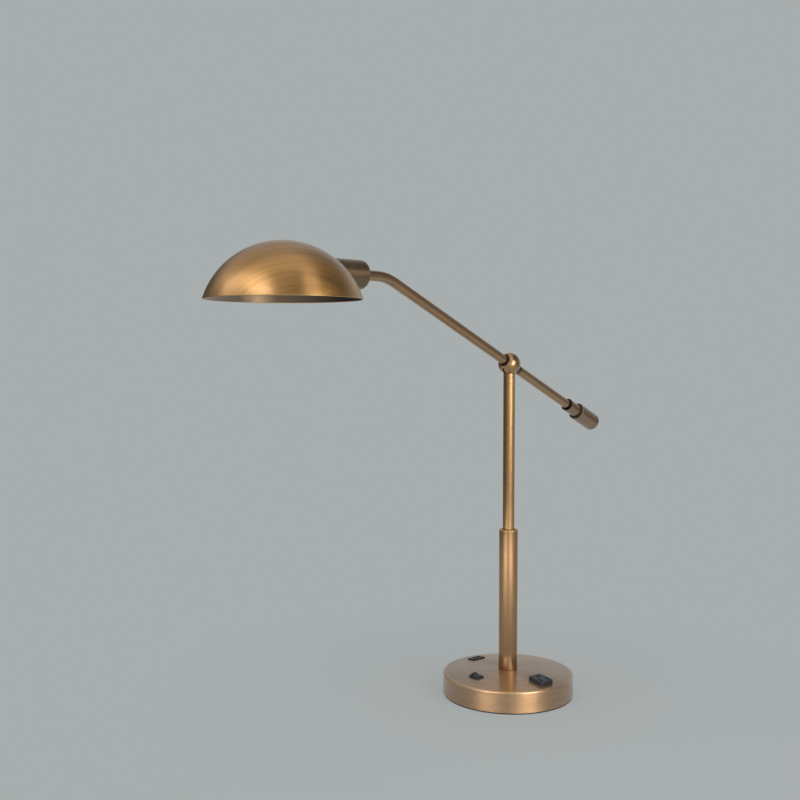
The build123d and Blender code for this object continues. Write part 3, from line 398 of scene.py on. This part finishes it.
# pale gold and copper: painted highlights on edges and rims
paintedEdgeHighlight = (0.92, 0.58, 0.24)
paintedCopperHighlight = (0.75, 0.38, 0.15)
bushShadow = (0.06, 0.045, 0.04)
ringBlack = (0.012, 0.011, 0.011)
weightShadow = (0.05, 0.035, 0.025)
drawn = {"lines": 14.0, "smear": 26.0, "blurTurn": 0.0, "bump": 0.0}  # tube drawn along its length

brassFinishes = {
    "brassPost": {
        "centre": footCentre, "axis": upAxis, **drawn,
        "deep": (0.54, 0.302, 0.114), "bright": (0.60, 0.335, 0.127),
        "roughness": (0.325, 0.335), "anisotropy": 0.8, "clouds": 0.15, "specks": 0.0,
        "coat": 0.8, "coatIor": 1.6, "coatRoughness": 0.26,
    },
    "brassLower": {
        "centre": footCentre, "axis": upAxis, **drawn,
        "deep": (0.35, 0.20, 0.095), "bright": (0.45, 0.255, 0.12),
        "roughness": (0.30, 0.36), "anisotropy": 0.85, "coat": 0.4,
        # painted highlight at the lip of the tube's top
        "marks": [{"place": lowerTop, "reach": 0.0016, "share": 0.8, "colour": paintedEdgeHighlight}],
    },
    "brassArm": {
        "centre": ballCentre, "axis": armAxis, **drawn,
        "deep": (0.45, 0.268, 0.142), "bright": (0.56, 0.335, 0.178),
        "roughness": (0.22, 0.30), "anisotropy": 0.2,
        # a painted shadow on the arm just beside the ball
        "marks": [{"place": -armBush, "reach": 0.0042, "share": 0.85, "colour": bushShadow}],
    },
    "brassCollar": {
        "centre": ballCentre, "axis": armAxis, **drawn,
        "deep": (0.34, 0.215, 0.13), "bright": (0.44, 0.28, 0.17),
        "roughness": (0.24, 0.32), "anisotropy": 0.2,
        "marks": [
            {"place": -ringFront, "reach": 0.0006, "share": 1.0, "colour": ringBlack},
            # a painted shadow where the collar sinks into the counterweight's recess
            {"place": -weightStart, "reach": 0.0025, "share": 0.9, "colour": weightShadow},
        ],
    },
    "brassWeight": {
        "centre": ballCentre, "axis": armAxis, **drawn,
        "deep": (0.31, 0.200, 0.132), "bright": (0.46, 0.300, 0.197),
        "roughness": (0.24, 0.32), "anisotropy": 0.2,
        "marks": [
            # painted highlights on the counterweight's near rim and its far rounded end
            {"place": -weightStart, "reach": 0.0012, "share": 0.45, "colour": paintedEdgeHighlight, "beyond": 0.0123},
            {"place": -weightEnd, "reach": 0.0022, "share": 0.5, "colour": paintedCopperHighlight},
        ],
    },
    "brassShade": {
        "centre": shadeCentre, "axis": shadeLay, "lines": 780.0, "smear": 1.1,
        "deep": (0.37, 0.180, 0.044), "bright": (0.72, 0.375, 0.098),
        "roughness": (0.28, 0.38), "bump": 0.08, "clouds": 0.1,
        "coat": 1.0, "coatIor": 1.55, "coatRoughness": 0.24, "hollow": shadeInsidePaintedLight,
    },
    # the rim bead's brass is paler than the shade's, a painted highlight along the rim
    "brassLipPaintedHighlight": {
        "centre": shadeCentre, "axis": upAxis,
        "deep": (0.55, 0.33, 0.12), "bright": (0.75, 0.46, 0.18),
        "roughness": (0.26, 0.34), "bump": 0.0,
    },
    "brassBase": {
        "centre": footCentre, "axis": upAxis, "lines": 600.0,
        "deep": (0.39, 0.236, 0.100), "bright": (0.62, 0.385, 0.158),
        "roughness": (0.40, 0.48), "anisotropy": 0.78, "clouds": 0.1,
        "coat": 1.0, "coatIor": 2.05, "coatRoughness": 0.14, "coatTint": (1.0, 0.93, 1.0),
        # painted highlight along the base's top edge
        "marks": [{"place": baseEdge, "reach": 0.0012, "share": 0.8, "colour": paintedEdgeHighlight}],
    },
    "brassBall": {
        "centre": ballCentre, "axis": armAxis,
        "deep": (0.48, 0.275, 0.115), "bright": (0.54, 0.312, 0.13),
        "roughness": (0.26, 0.30), "anisotropy": 0.0, "bump": 0.0, "specks": 0.0,
        "coat": 0.9, "coatIor": 1.6, "coatRoughness": 0.2,
    },
    "brassCup": {
        "centre": headCentre, "axis": headAxis,
        "deep": (0.21, 0.14, 0.075), "bright": (0.29, 0.195, 0.10),
        "roughness": (0.34, 0.42), "bump": 0.0,
    },
    "brassBright": {
        "centre": headCentre, "axis": headAxis,
        "deep": (0.6, 0.4, 0.18), "bright": (0.75, 0.5, 0.22),
    },
}
brass = {name: makeBrass(name, **finish) for name, finish in brassFinishes.items()}
blackNylon = makePlastic("blackNylon", (0.010, 0.009, 0.009), (0.018, 0.016, 0.015), 0.5)

slotFinish = {
    "brass_spun": brass["brassPost"],
    "brass_plain": brass["brassBright"],
    "steel": makeSteel("zincSteel", (0.62, 0.62, 0.63), 0.3),
    "cast_iron": makeSteel("castIron", (0.10, 0.10, 0.105), 0.55),
    "black_plastic": makePlastic("blackPlastic", (0.018, 0.020, 0.024), (0.030, 0.033, 0.038), 0.36),
    "nylon": blackNylon,
    "pale_nylon": makePlastic("paleNylon", (0.62, 0.60, 0.54), (0.72, 0.70, 0.64), 0.45),
    "foam": makePlastic("blackFoam", (0.010, 0.010, 0.010), (0.022, 0.021, 0.020), 0.85,
                        grain=1600.0, bump=0.3),
    "board": makePlastic("greenBoard", (0.010, 0.07, 0.025), (0.016, 0.10, 0.04), 0.4),
    "port_metal": makeSteel("portMetal", (0.70, 0.70, 0.72), 0.22),
    "cap_metal": makeSteel("capMetal", (0.72, 0.72, 0.74), 0.3),
    "bulb_glass": makeGlass("frostedGlass"),
    "filament": makePlastic("filamentCoat", (0.75, 0.55, 0.18), (0.85, 0.65, 0.25), 0.4),
}
nodeFinish = {
    "base_shell": brass["brassBase"],
    "lower_tube": brass["brassLower"],
    "pivot_ball": brass["brassBall"],
    "arm_tube": brass["brassArm"],
    "arm_collar": brass["brassCollar"],
    "collar_ring": brass["brassCollar"],
    "counterweight": brass["brassWeight"],
    "swivel_ring": brass["brassBright"],
    "socket_cup": brass["brassCup"],
    "shade": brass["brassShade"],
    "shade_ring": brass["brassShade"],
}
for part in frame["record"]["subparts"]:
    name = part["node"]
    mesh = nodes[name].data
    mesh.materials.clear()
    mesh.materials.append(nodeFinish.get(name, slotFinish[part["material_slot"]]))
print("finishes laid on the frame's nodes")

sharpAngle = radians(40)


# spins a closed profile, given as points of (distance along the axis, distance from it)
def makeTurned(name, body, centre, axis, profile, material, steps=128):
    way = Vector(axis).normalized()
    side = way.orthogonal().normalized()
    shape = bmesh.new()
    corners = [shape.verts.new(Vector(centre) + way * along + side * out) for along, out in profile]
    edges = [shape.edges.new((corners[i - 1], corner)) for i, corner in enumerate(corners)]
    bmesh.ops.spin(shape, geom=corners + edges, cent=centre, axis=way, angle=2 * pi, steps=steps,
                   use_merge=True)
    bmesh.ops.recalc_face_normals(shape, faces=shape.faces)
    mesh = bpy.data.meshes.new(name)
    shape.to_mesh(mesh)
    shape.free()
    mesh.polygons.foreach_set("use_smooth", [True] * len(mesh.polygons))
    mesh.set_sharp_from_angle(angle=sharpAngle)
    mesh.materials.append(material)
    piece = bpy.data.objects.new(name, mesh)
    bpy.context.scene.collection.objects.link(piece)
    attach(piece, body)


# the shade's rim is rolled into a fine bead
lipBead = {"radius": 0.0006, "sides": 12, "steps": 192}


def makeShadeLip():
    middle = (shadeCentre.x, 0, shadeBox[0][2])
    radius = lipBead["radius"]
    turns = [2 * pi * i / lipBead["sides"] for i in range(lipBead["sides"])]
    profile = [(radius * cos(turn), shadeRadius - radius + radius * sin(turn)) for turn in turns]
    makeTurned("shadeLip", "head", middle, upAxis, profile, brass["brassLipPaintedHighlight"], lipBead["steps"])


# thin flange of the dark bush where the arm enters the ball
bushFlange = {"start": 0.0116, "end": 0.0124, "bore": 0.0078, "radius": 0.0089, "round": 0.0002}


def makeBushFlange():
    start, end = bushFlange["start"], bushFlange["end"]
    bore, radius, soft = bushFlange["bore"], bushFlange["radius"], bushFlange["round"]
    profile = [(start, bore), (start, radius), (end - soft, radius), (end, radius - soft), (end, bore)]
    makeTurned("bushFlange", "arm", ballCentre, armAxis, profile, blackNylon)


makeShadeLip()
makeBushFlange()
print("shade's lip and bush flange turned")

backdropTone = (0.392, 0.423, 0.423)


# 1 for the rays that show the stage, 0 for those that only light the lamp
def seenShare(tree, rays):
    share = mathNode(tree, "MAXIMUM", rays.outputs["Is Camera Ray"], rays.outputs["Is Glossy Ray"])
    return mathNode(tree, "MAXIMUM", share, rays.outputs["Is Transmission Ray"])


# pale floor: it takes the lamp's shadow near the base, and fades into the backdrop further out
floorLook = {
    "radius": 1.2,
    "segments": 96,
    "colour": (0.46, 0.48, 0.48, 1),
    "roughness": 0.8,
    "fade": (0.12, 0.5),
    "share": 0.35,
}


def makeFloor():
    shape = bmesh.new()
    bmesh.ops.create_circle(shape, cap_ends=True, segments=floorLook["segments"],
                            radius=floorLook["radius"])
    mesh = bpy.data.meshes.new("floor")
    shape.to_mesh(mesh)
    shape.free()
    floor = bpy.data.objects.new("floor", mesh)
    bpy.context.scene.collection.objects.link(floor)
    material, tree, shader = newMaterial("paleFloor")
    setInputs(shader, Base_Color=floorLook["colour"], Roughness=floorLook["roughness"])
    glow = addNode(tree, "ShaderNodeEmission")
    setInputs(glow, Color=(*backdropTone, 1))
    rays = addNode(tree, "ShaderNodeLightPath")
    distance = vectorNode(tree, "LENGTH", objectPlace(tree))
    fade = rangeNode(tree, distance, *floorLook["fade"], floorLook["share"], 0)
    share = mathNode(tree, "MAXIMUM", fade, mathNode(tree, "SUBTRACT", 1.0, seenShare(tree, rays)))
    blend = addNode(tree, "ShaderNodeMixShader")
    tree.links.new(share, blend.inputs[0])
    tree.links.new(glow.outputs[0], blend.inputs[1])
    tree.links.new(shader.outputs[0], blend.inputs[2])
    tree.links.new(blend.outputs[0], tree.nodes["Material Output"].inputs["Surface"])
    mesh.materials.append(material)


# the room as the metal sees it: open behind and above, dark low on the left and high on the right
# each tone is a grey level, and each fade runs from one share of a direction to another
room = {
    "lowLeft": 0.10,
    "lowMiddle": 0.60,
    "lowRight": 0.20,
    "highLeft": 0.38,
    "highRight": 0.11,
    "ceiling": 0.64,
    "behindLeft": 0.05,
    "plain": 0.55,
    "lowLeftFade": (-0.9, 0.0),
    "lowRightFade": (0.5, 0.95),
    "highFade": (0.12, 0.5),
    "riseFade": (0.15, 0.45),
    "ceilingFade": (0.86, 0.98),
    "behindSideFade": (-0.42, -0.12),
    "behindFade": (0.35, 0.8),
    "behindTopFade": (0.35, 0.6),
}


def greyTone(level):
    return (room[level],) * 3


def makeWorld():
    world = bpy.data.worlds.new("studio")
    bpy.context.scene.world = world
    world.use_nodes = True
    tree = world.node_tree
    look = addNode(tree, "ShaderNodeTexCoord").outputs["Generated"]
    rightward = vectorNode(tree, "DOT_PRODUCT", look, cameraRight)
    behind = vectorNode(tree, "DOT_PRODUCT", look, -towardCamera)
    parts = addNode(tree, "ShaderNodeSeparateXYZ")
    tree.links.new(look, parts.inputs[0])
    upward = parts.outputs[2]
    low = rangeNode(tree, rightward, *room["lowLeftFade"], room["lowLeft"], room["lowMiddle"])
    low = mixColour(tree, rangeNode(tree, rightward, *room["lowRightFade"]), low, greyTone("lowRight"))
    high = rangeNode(tree, rightward, *room["highFade"], room["highLeft"], room["highRight"])
    level = mixColour(tree, rangeNode(tree, upward, *room["riseFade"]), low, high)
    level = mixColour(tree, rangeNode(tree, upward, *room["ceilingFade"]), level, greyTone("ceiling"))
    far = mixColour(tree, rangeNode(tree, rightward, *room["behindSideFade"]), greyTone("behindLeft"),
                    backdropTone)
    farShare = mathNode(tree, "MULTIPLY", rangeNode(tree, behind, *room["behindFade"]),
                        rangeNode(tree, upward, *room["behindTopFade"], 1, 0))
    level = mixColour(tree, farShare, level, far)
    rays = addNode(tree, "ShaderNodeLightPath")
    seen = mixColour(tree, rays.outputs["Is Camera Ray"], level, backdropTone)
    seen = mixColour(tree, seenShare(tree, rays), greyTone("plain"), seen)
    background = tree.nodes["Background"]
    tree.links.new(seen, background.inputs["Color"])
    setInputs(background, Strength=1.0)


# each softbox: its middle as seen from what it lights (right, up, toward the camera), and its long side
softboxes = {
    "rightStrip": {"from": (0, 0, 0.32), "way": (0.60, 0.25, 0.76), "reach": 1.5,
                   "long": (0.16, 0.65, -0.38), "size": (1.12, 0.62), "power": 8.2},
    "leftLow": {"from": (0, 0, 0.015), "way": (-0.65, 0.05, 0.76), "reach": 0.75,
                "long": (1, 0, 0), "size": (0.7, 0.08), "power": 0.14, "spread": 46},
    "rightLow": {"from": (0, 0, 0.015), "way": (0.42, 0.05, 0.90), "reach": 0.75,
                 "long": (1, 0, 0), "size": (0.54, 0.08), "power": 0.115, "spread": 46},
    "leftKey": {"from": tuple(shadeCentre), "way": (-0.61, 0.72, 0.28), "reach": 1.2,
                "long": (0.67, 0.33, 0.815), "size": (1.4, 0.46), "power": 2.55},
    "leftSpot": {"from": tuple(shadeCentre), "way": (-0.38, 0.665, 0.64), "reach": 1.2,
                 "long": (0.66, 0.09, 0.34), "size": (0.6, 0.13), "power": 1.05},
    "rightKey": {"from": tuple(shadeCentre), "way": (0.555, 0.74, 0.35), "reach": 1.2,
                 "long": (0.10, -0.20, 0.32), "size": (0.8, 0.36), "power": 0.76},
}


def inRoom(way):
    return cameraRight * way[0] + Vector((0, 0, way[1])) + towardCamera * way[2]


def makeSoftbox(name, place):
    light = bpy.data.lights.new(name, "AREA")
    light.shape = "RECTANGLE"
    light.size, light.size_y = place["size"]
    light.energy = place["power"]
    light.spread = radians(place.get("spread", 180))
    lamp = bpy.data.objects.new(name, light)
    away = inRoom(place["way"]).normalized()
    across = inRoom(place["long"])
    across = (across - away * across.dot(away)).normalized()
    lamp.location = Vector(place["from"]) + away * place["reach"]
    lamp.rotation_euler = Matrix((across, away.cross(across), away)).transposed().to_euler()
    lamp.visible_camera = False
    bpy.context.scene.collection.objects.link(lamp)


def makeCamera():
    camera = bpy.data.cameras.new("camera")
    camera.lens = cameraPlace["lens"]
    camera.sensor_width = cameraPlace["sensor"]
    camera.clip_end = cameraPlace["clipEnd"]
    view = bpy.data.objects.new("camera", camera)
    view.location = cameraPlace["location"]
    view.rotation_euler = forward.to_track_quat("-Z", "Y").to_euler()
    bpy.context.scene.collection.objects.link(view)
    bpy.context.scene.camera = view


makeFloor()
makeWorld()
for name, place in softboxes.items():
    makeSoftbox(name, place)
makeCamera()
bpy.context.scene.view_settings.view_transform = "Standard"
print("stage, lights and camera set")
